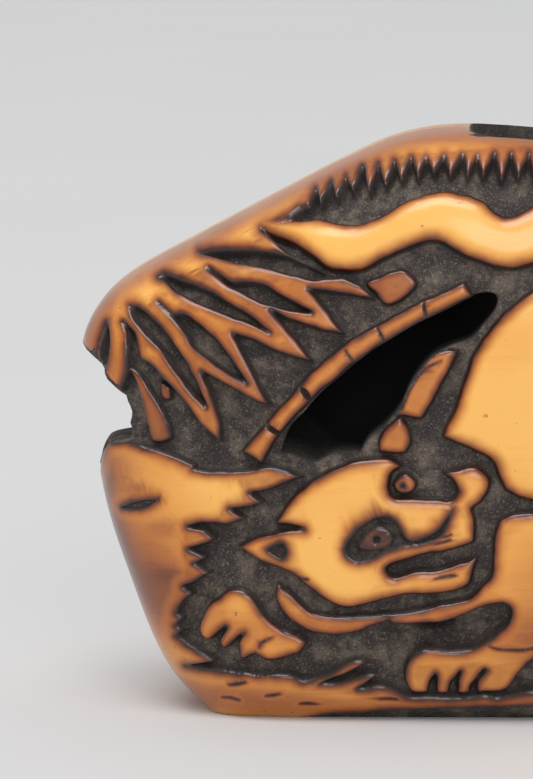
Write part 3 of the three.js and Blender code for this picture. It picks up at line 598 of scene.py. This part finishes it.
def pebble_point(u, v):
    """The pebble's front over a square from -1 to 1: x, z and the height of the face above the middle."""
    disc_x = u * np.sqrt(1 - v * v / 2)
    disc_z = v * np.sqrt(1 - u * u / 2)
    radius = np.clip(np.hypot(disc_x, disc_z), 0, 1)
    angle = np.arctan2(disc_z * HALF_HEIGHT, disc_x * HALF_LENGTH)
    turn = np.linspace(0, math.pi / 2, 2000)
    ring, rise = np.sin(turn) ** (2 / EDGE_POWER), np.cos(turn) ** (2 / EDGE_POWER)
    length = np.concatenate([[0], np.cumsum(np.hypot(np.diff(ring) * 20, np.diff(rise) * DEPTH / 2))])
    at = np.interp(radius * length[-1], length, turn)
    rho, height = np.sin(at) ** (2 / EDGE_POWER), np.cos(at) ** (2 / EDGE_POWER) * DEPTH / 2
    height = np.where(radius >= 1 - 1e-9, 0.0, height)
    angles, reach = blank_reach()
    edge = np.interp(angle, angles, reach, period=2 * math.pi)
    return CORE[0] + rho * edge * np.cos(angle), CORE[1] + rho * edge * np.sin(angle), height


COLUMNS, ROWS = 640, 430  # of the grid over each face


def quads(grid):
    """The faces between the points of a grid of vertex numbers."""
    return np.column_stack([grid[:-1, :-1].ravel(), grid[:-1, 1:].ravel(),
                            grid[1:, 1:].ravel(), grid[1:, :-1].ravel()])


def pebble_mesh():
    """Vertices and quads of the closed pebble: the front's grid, then the back's, sharing the edge."""
    u, v = np.meshgrid(np.linspace(-1, 1, COLUMNS + 1), np.linspace(-1, 1, ROWS + 1))
    x, z, height = pebble_point(u, v)
    z = np.maximum(z, 0.0)
    front = np.column_stack([x.ravel(), -height.ravel(), z.ravel()])
    index = np.arange((COLUMNS + 1) * (ROWS + 1)).reshape(ROWS + 1, COLUMNS + 1)
    inner = np.zeros(index.shape, bool)
    inner[1:-1, 1:-1] = True
    back_index = index.copy()
    back_index[inner] = len(front) + np.arange(inner.sum())
    back = front[inner.ravel()] * [1, -1, 1]
    return np.vstack([front, back]), np.vstack([quads(index), quads(back_index)[:, ::-1]])


def mesh_object(name, vertices, faces):
    mesh = bpy.data.meshes.new(name)
    mesh.vertices.add(len(vertices))
    mesh.vertices.foreach_set("co", np.ascontiguousarray(vertices, dtype=np.float32).ravel())
    faces = np.asarray(faces, dtype=np.int32)
    corners = faces.shape[1]
    mesh.loops.add(faces.size)
    mesh.loops.foreach_set("vertex_index", faces.ravel())
    mesh.polygons.add(len(faces))
    mesh.polygons.foreach_set("loop_start", np.arange(0, faces.size, corners, dtype=np.int32))
    mesh.update(calc_edges=True)
    mesh.validate()
    piece = bpy.data.objects.new(name, mesh)
    bpy.context.scene.collection.objects.link(piece)
    return piece


def normals_of(piece):
    values = np.empty(len(piece.data.vertices) * 3, dtype=np.float32)
    piece.data.vertex_normals.foreach_get("vector", values)
    return values.reshape(-1, 3)


def positions_of(piece):
    values = np.empty(len(piece.data.vertices) * 3, dtype=np.float32)
    piece.data.vertices.foreach_get("co", values)
    return values.reshape(-1, 3).astype(float)


def sample(grid, x, z):
    """Values of a map at places, smoothly between its cells."""
    u = np.clip((x - MAP_X[0]) / CELL, 0, grid.shape[1] - 1.001)
    v = np.clip((z - MAP_Z[0]) / CELL, 0, grid.shape[0] - 1.001)
    i, j = u.astype(int), v.astype(int)
    s, t = u - i, v - j
    low = grid[j, i] * (1 - s) + grid[j, i + 1] * s
    high = grid[j + 1, i] * (1 - s) + grid[j + 1, i + 1] * s
    return low * (1 - t) + high * t


def apply_modifier(piece, kind, **settings):
    modifier = piece.modifiers.new(kind.lower(), kind)
    for key, value in settings.items():
        setattr(modifier, key, value)
    bpy.context.view_layer.objects.active = piece
    bpy.ops.object.modifier_apply(modifier=modifier.name)


def face_outwards(mesh):
    bm = bmesh.new()
    bm.from_mesh(mesh)
    bmesh.ops.recalc_face_normals(bm, faces=bm.faces)
    bm.to_mesh(mesh)
    bm.free()


def prism(name, points, low, high):
    """A closed straight cutter: an outline pushed along Y between two places, in millimetres."""
    count = len(points)
    near = np.column_stack([points[:, 0], np.full(count, low), points[:, 1]])
    far = near + [0, high - low, 0]
    mesh = bpy.data.meshes.new(name)
    ring = list(range(count))
    sides = [(i, (i + 1) % count, count + (i + 1) % count, count + i) for i in ring]
    mesh.from_pydata(np.vstack([near, far]).tolist(), [], [ring[::-1], [count + i for i in ring], *sides])
    cutter = bpy.data.objects.new(name, mesh)
    bpy.context.scene.collection.objects.link(cutter)
    face_outwards(cutter.data)
    return cutter


# ---- Openings ----

HOLLOW = {"x": -4.5, "z": 21.4, "length": 20.6, "height": 16.4, "depth": 10.4}
SLOT = {"left": -3.4, "right": 7.4, "y": -0.2, "width": 6.0, "corner": 1.5, "floor": 22.0}
SLOT_TOP = 40.0
SIDEWAYS = 20.0  # how far a cutter reaches past the piece, along Y
CORD_HOLE = {"x": 2.2, "z": 17.6, "radius": 3.1}


def chamber():
    """The hollow of the core, as a cutter."""
    bm = bmesh.new()
    bmesh.ops.create_uvsphere(bm, u_segments=64, v_segments=40, radius=0.5)
    for vertex in bm.verts:
        x, y, z = vertex.co * 2
        level = (1 - min(1.0, math.hypot(x, z)) ** EDGE_POWER) ** (1 / EDGE_POWER)
        vertex.co = (HOLLOW["x"] + x * HOLLOW["length"] / 2, math.copysign(level, y) * HOLLOW["depth"] / 2,
                     HOLLOW["z"] + z * HOLLOW["height"] / 2)
    bmesh.ops.remove_doubles(bm, verts=bm.verts, dist=1e-4)
    bmesh.ops.recalc_face_normals(bm, faces=bm.faces)
    mesh = bpy.data.meshes.new("chamber")
    bm.to_mesh(mesh)
    bm.free()
    cutter = bpy.data.objects.new("chamber", mesh)
    bpy.context.scene.collection.objects.link(cutter)
    return cutter


def slot_cutter():
    """The cord slot in the crest, as a cutter: an upright prism with rounded corners."""
    corner = SLOT["corner"]
    half = SLOT["width"] / 2 - corner
    turn = np.linspace(0, math.pi / 2, 9)
    arcs = []
    for quarter, (x, y) in enumerate([(SLOT["right"] - corner, half), (SLOT["left"] + corner, half),
                                      (SLOT["left"] + corner, -half), (SLOT["right"] - corner, -half)]):
        angle = turn + quarter * math.pi / 2
        arcs.append(np.column_stack([x + corner * np.cos(angle), y + corner * np.sin(angle)]))
    cutter = prism("slot", np.vstack(arcs), 0.0, SLOT_TOP - SLOT["floor"])
    for vertex in cutter.data.vertices:
        x, height, across = vertex.co
        vertex.co = (x, SLOT["y"] + across, SLOT["floor"] + height)
    face_outwards(cutter.data)
    return cutter


def cut_openings(piece):
    """Cuts the hollow, its three openings, and the gap in the left end."""
    cutters = [
        chamber(),
        slot_cutter(),
        prism("cord_hole", ellipse(CORD_HOLE["x"], CORD_HOLE["z"], CORD_HOLE["radius"], CORD_HOLE["radius"]),
              0.0, SIDEWAYS),
        prism("crescent", outline(CRESCENT)[::2], -SIDEWAYS, 0.0),
        prism("end_gap", outline(END_GAP)[::3], -SIDEWAYS, SIDEWAYS),
        prism("end_gap_undercut", outline(END_GAP)[::3], -SIDEWAYS, SIDEWAYS),
    ]
    for vertex in cutters[-1].data.vertices:
        vertex.co.z -= UNDERCUT * vertex.co.y
    for cutter in cutters:
        apply_modifier(piece, "BOOLEAN", operation="DIFFERENCE", solver="MANIFOLD", object=cutter)
        bpy.data.objects.remove(cutter)


# ---- The carved piece ----

MOST_TRIANGLES = 196000
NEAR = 0.03  # a point this near an opening's wall lies on it
# Painted shade: between these depths below the pebble the antler darkens to the hollow's painted shade.
DEEP_SHADE_FROM, DEEP_SHADE_TO = 1.75, 2.3  # depths over which the antler turns as dark as the hollow
# Painted shade on the openings' walls: the slot's walls above this height, the cord hole's walls this far
# back, and the crescent's walls, all at least this dark.
SLOT_WALL_FROM = 28
CORD_HOLE_WALL_FROM = 3
OPENING_WALL_PAINTED_SHADE = 0.55
GAP_SHORE = -0.6


def set_value(piece, name, values):
    attribute = piece.data.attributes.new(name, "FLOAT", "POINT")
    attribute.data.foreach_set("value", np.ascontiguousarray(values, dtype=np.float32))


def carved_piece():
    """The whole netsuke: the pebble's mesh, sunk by the two sides' maps, opened, thinned out and coloured."""
    vertices, faces = pebble_mesh()
    piece = mesh_object("carved_netsuke", vertices, faces)
    tree = BVHTree.FromPolygons(vertices.tolist(), faces.tolist())
    normals = normals_of(piece)
    sides = {"front": front_side(), "back": back_side()}
    x, y, z = vertices.T
    depth = np.where(y < 0, sample(sides["front"].depth, x, z), sample(sides["back"].depth, x, z))
    edge_on = smooth_step(0.0, 0.6, np.abs(y))
    sunk = vertices - normals * (depth * edge_on)[:, None]
    sunk[:, 2] = np.where(z <= 0.0, 0.0, np.maximum(sunk[:, 2], 0.0))
    sunk = np.clip(sunk, np.array(CAD_BOX[0]) / MM, np.array(CAD_BOX[1]) / MM)
    piece.data.vertices.foreach_set("co", np.ascontiguousarray(sunk, dtype=np.float32).ravel())
    piece.data.update()
    cut_openings(piece)
    apply_modifier(piece, "TRIANGULATE")
    ratio = MOST_TRIANGLES / len(piece.data.polygons)
    apply_modifier(piece, "DECIMATE", ratio=min(1.0, ratio), use_collapse_triangulate=True)
    colour_values(piece, tree, sides)
    piece.data.transform(Matrix.Scale(MM, 4))
    piece.data.shade_smooth()
    return piece


def colour_values(piece, tree, sides):
    """Stores on each vertex its depth below the pebble, its distance from a cut, its brownness, and the
    painted shade of the hollow, the deepest recesses and the openings' walls.
    """
    places = positions_of(piece)
    bases, depths = [], []
    for place in places.tolist():
        base, _, _, distance = tree.find_nearest(place)
        bases.append(base[:])
        depths.append(distance)
    base = np.array(bases)
    x, y, z = base.T
    front = y < 0
    shore = np.where(front, sample(sides["front"].shore, x, z), sample(sides["back"].shore, x, z))
    brown = np.where(front, sample(sides["front"].brown, x, z), sample(sides["back"].brown, x, z))
    # Painted shade, growing with the depth below the pebble, in the hollow and the deepest recesses.
    inner = smooth_step(DEEP_SHADE_FROM, DEEP_SHADE_TO, np.array(depths))
    px, py, pz = places.T
    along_slot = (px > SLOT["left"] - NEAR) & (px < SLOT["right"] + NEAR)
    in_slot = along_slot & (np.abs(py - SLOT["y"]) < SLOT["width"] / 2 + NEAR)
    in_cord_hole = np.hypot(px - CORD_HOLE["x"], pz - CORD_HOLE["z"]) < CORD_HOLE["radius"] + NEAR
    crescent = sample(signed_distance(outline(CRESCENT)), px, pz)
    end_gap = signed_distance(outline(END_GAP))
    gap = np.maximum(sample(end_gap, px, pz), sample(end_gap, px, pz + UNDERCUT * py))
    slot_wall = in_slot & (pz > SLOT_WALL_FROM)
    cord_hole_wall = in_cord_hole & (py > CORD_HOLE_WALL_FROM)
    crescent_wall = (crescent > -0.04) & (py < 0)
    # Painted shade on the walls of the slot, the cord hole and the crescent.
    inner = np.where(slot_wall | cord_hole_wall | crescent_wall, np.maximum(inner, OPENING_WALL_PAINTED_SHADE), inner)
    inner = np.where(gap > -NEAR, 0.0, inner)
    # Places under painted shade are coloured as the sunken floor, which that shade then darkens.
    shore = np.where(inner > 0, np.minimum(shore, -inner), shore)
    shore = np.where((gap > -NEAR) | (pz < 0.01), GAP_SHORE, shore)
    set_value(piece, "sunk", np.array(depths))
    set_value(piece, "shore", shore)
    set_value(piece, "inner", inner)
    set_value(piece, "brown", brown)


# ---- Materials ----

def srgb(code):
    channels = [int(code[i:i + 2], 16) / 255 for i in (0, 2, 4)]
    linear = [c / 12.92 if c <= 0.04045 else ((c + 0.055) / 1.055) ** 2.4 for c in channels]
    return (*linear, 1.0)


class Nodes:
    """Short ways to add and join the nodes of one material."""

    def __init__(self, name):
        self.material = bpy.data.materials.new(name)
        self.material.use_nodes = True
        self.tree = self.material.node_tree
        self.tree.nodes.clear()
        self.output = self.tree.nodes.new("ShaderNodeOutputMaterial")
        self.shader = self.tree.nodes.new("ShaderNodeBsdfPrincipled")
        self.tree.links.new(self.shader.outputs[0], self.output.inputs["Surface"])

    def put(self, socket, value):
        if hasattr(value, "is_output"):
            self.tree.links.new(value, socket)
        else:
            socket.default_value = value

    def value(self, name):
        node = self.tree.nodes.new("ShaderNodeAttribute")
        node.attribute_name = name
        return node.outputs["Fac"]

    def place(self, scale=(1, 1, 1)):
        coordinates = self.tree.nodes.new("ShaderNodeTexCoord")
        mapping = self.tree.nodes.new("ShaderNodeMapping")
        mapping.inputs["Scale"].default_value = scale
        self.tree.links.new(coordinates.outputs["Object"], mapping.inputs["Vector"])
        return mapping.outputs["Vector"]

    def noise(self, scale, detail=2.0, stretch=(1, 1, 1), roughness=0.5):
        node = self.tree.nodes.new("ShaderNodeTexNoise")
        self.put(node.inputs["Vector"], self.place(stretch))
        node.inputs["Scale"].default_value = scale
        node.inputs["Detail"].default_value = detail
        node.inputs["Roughness"].default_value = roughness
        return node.outputs["Fac"]

    def math(self, operation, a, b=0.0, clamp=False):
        node = self.tree.nodes.new("ShaderNodeMath")
        node.operation = operation
        node.use_clamp = clamp
        self.put(node.inputs[0], a)
        self.put(node.inputs[1], b)
        return node.outputs[0]

    def span(self, value, low, high, to_low=0.0, to_high=1.0):
        node = self.tree.nodes.new("ShaderNodeMapRange")
        node.interpolation_type = "SMOOTHSTEP"
        self.put(node.inputs["Value"], value)
        for name, number in (("From Min", low), ("From Max", high), ("To Min", to_low),
        ("To Max", to_high)):
            node.inputs[name].default_value = number
        return node.outputs["Result"]

    def mix(self, factor, a, b, blend="MIX"):
        node = self.tree.nodes.new("ShaderNodeMix")
        node.data_type = "RGBA"
        node.blend_type = blend
        self.put(node.inputs["Factor"], factor)
        self.put(node.inputs["A"], a)
        self.put(node.inputs["B"], b)
        return node.outputs["Result"]

    def ramp(self, value, stops):
        node = self.tree.nodes.new("ShaderNodeValToRGB")
        elements = node.color_ramp.elements
        while len(elements) < len(stops):
            elements.new(0.5)
        for element, (position, colour) in zip(elements, stops):
            element.position = position
            element.color = srgb(colour)
        self.put(node.inputs["Fac"], value)
        return node.outputs["Color"]

    def bump(self, height, distance, strength=1.0):
        node = self.tree.nodes.new("ShaderNodeBump")
        node.inputs["Strength"].default_value = strength
        node.inputs["Distance"].default_value = distance
        self.put(node.inputs["Height"], height)
        self.tree.links.new(node.outputs["Normal"], self.shader.inputs["Normal"])


# The antler's colours by how brown it is, and those of a burnt edge by the distance from it in millimetres.
ANTLER = [(0.0, "F6B85A"), (0.2, "E8A046"), (0.5, "B86C2A"), (0.75, "904C1E"), (1.0, "602E14")]
BURNT_EDGE = [(0.0, "1E100A"), (0.1, "4C1E06"), (0.25, "8E420A"), (0.5, "BC6A18"), (0.9, "DE9036")]
FLOOR_DARK, FLOOR_DUSTY = "37302F", "6C6055"
GRIT_PALE, GRIT_DARK = "A0937E", "221C1C"
FLOOR_EDGE = "1A1210"
# Painted shade: the colour of the hollow's inside and of the deepest recesses.
HOLLOW_PAINTED_SHADE = "0C0A09"


def antler_material():
    """Polished antler that darkens towards the cuts, over matt, gritty sunken floors, with painted shade in
    the hollow, the deepest recesses and the openings' walls.
    """
    n = Nodes("stained_antler")
    shore = n.value("shore")
    brown = n.value("brown")
    broad = n.noise(160, 2)
    medium = n.noise(900, 3)
    grain = n.noise(300, 4, (1, 3, 14), 0.65)
    uneven = n.math("ADD", shore, n.math("MULTIPLY", n.math("SUBTRACT", medium, 0.5), 0.3))
    tone = n.math("ADD", brown, n.math("MULTIPLY", n.math("SUBTRACT", broad, 0.5), 0.3))
    tone = n.math("ADD", tone, n.span(grain, 0.5, 0.85, 0.0, 0.12))
    tone = n.math("ADD", tone, n.span(n.noise(2400, 2), 0.7, 0.78, 0.0, 0.45))
    clear = n.ramp(tone, ANTLER)
    burn = n.ramp(uneven, BURNT_EDGE)
    standing = n.mix(n.span(uneven, 0.1, 0.95), burn, clear)
    dust = n.noise(700, 4, (1, 1, 1), 0.7)
    floor = n.mix(n.span(dust, 0.42, 0.72), srgb(FLOOR_DARK), srgb(FLOOR_DUSTY))
    sparkle = n.noise(9000, 2)
    floor = n.mix(n.span(sparkle, 0.54, 0.74, 0.0, 0.45), floor, srgb(GRIT_PALE))
    floor = n.mix(n.span(n.noise(8000, 2), 0.55, 0.7, 0.0, 0.5), floor, srgb(GRIT_DARK))
    floor = n.mix(n.span(shore, -0.14, -0.02, 0.0, 0.75), floor, srgb(FLOOR_EDGE))
    # Painted shade of the hollow, the deepest recesses and the openings' walls, from the inner value.
    floor = n.mix(n.value("inner"), floor, srgb(HOLLOW_PAINTED_SHADE))
    ragged = n.math("ADD", shore, n.math("MULTIPLY", n.math("SUBTRACT", medium, 0.5), 0.08))
    sunk = n.span(ragged, 0.04, -0.03)
    n.put(n.shader.inputs["Base Color"], n.mix(sunk, standing, floor))
    n.put(n.shader.inputs["Roughness"], n.math("ADD", n.span(sunk, 0, 1, 0.3, 0.85),
                                               n.math("MULTIPLY", n.math("SUBTRACT", medium, 0.5), 0.1)))
    n.put(n.shader.inputs["Coat Weight"], n.span(sunk, 0, 1, 0.4, 0.0))
    n.shader.inputs["Coat Roughness"].default_value = 0.14
    n.shader.inputs["Subsurface Weight"].default_value = 0.12
    n.shader.inputs["Subsurface Radius"].default_value = (1.0, 0.5, 0.2)
    n.shader.inputs["Subsurface Scale"].default_value = 0.0006
    rough = n.math("MULTIPLY", n.noise(2600, 3), n.span(sunk, 0, 1, 0.12, 1.0))
    n.bump(rough, 0.00012, 0.6)
    return n.material


def floor_material():
    n = Nodes("studio_floor")
    n.put(n.shader.inputs["Base Color"], n.mix(n.noise(30, 2), srgb("D8D8D8"), srgb("DCDCDC")))
    n.shader.inputs["Roughness"].default_value = 0.75
    return n.material


# ---- Studio ----

PHOTO_ELEVATION = math.radians(8)
CAMERA_DISTANCE = 0.4
AIM = Vector((-0.0150, 0.0, 0.01797))
VIEW_HEIGHT = 0.04414  # what the frame's height covers at the object


def studio_floor():
    mesh = bpy.data.meshes.new("studio_floor")
    half = 3.0
    mesh.from_pydata([(-half, -half, 0), (half, -half, 0), (half, half, 0),
    (-half, half, 0)], [], [(0, 1, 2, 3)])
    floor = bpy.data.objects.new("studio_floor", mesh)
    bpy.context.scene.collection.objects.link(floor)
    mesh.materials.append(floor_material())


def camera():
    data = bpy.data.cameras.new("camera")
    data.sensor_width = 36
    data.lens = data.sensor_width * CAMERA_DISTANCE / VIEW_HEIGHT
    data.clip_start = 0.01
    seat = bpy.data.objects.new("camera", data)
    bpy.context.scene.collection.objects.link(seat)
    back = Vector((0, -math.cos(PHOTO_ELEVATION), math.sin(PHOTO_ELEVATION)))
    seat.location = Vector((0, 0, AIM.z)) + back * CAMERA_DISTANCE
    seat.rotation_euler = (AIM - seat.location).to_track_quat("-Z", "Y").to_euler()
    bpy.context.scene.camera = seat


def softbox(name, place, aim, size, power, colour=(1, 1, 1)):
    data = bpy.data.lights.new(name, "AREA")
    data.shape = "RECTANGLE"
    data.size, data.size_y = size
    data.energy = power
    data.color = colour
    lamp = bpy.data.objects.new(name, data)
    bpy.context.scene.collection.objects.link(lamp)
    lamp.location = place
    lamp.rotation_euler = (Vector(aim) - Vector(place)).to_track_quat("-Z", "Y").to_euler()


def studio_light():
    world = bpy.data.worlds.new("studio")
    world.use_nodes = True
    background = world.node_tree.nodes["Background"]
    background.inputs["Color"].default_value = (0.98, 0.985, 1.0, 1)
    background.inputs["Strength"].default_value = 0.54
    bpy.context.scene.world = world
    softbox("top_box", (-0.3, -0.8, 2.0), (0, 0, 0), (1.3, 1.1), 24.0)
    softbox("front_box", (0.3, -2.2, 0.9), (0, 0, 0.01), (1.2, 1.0), 14.0)
    bpy.context.scene.view_settings.view_transform = "Standard"


# ---- The scene ----

camera()
studio_light()
studio_floor()
netsuke = carved_piece()
netsuke.data.materials.clear()
netsuke.data.materials.append(antler_material())
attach(netsuke, "root")
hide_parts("netsuke")
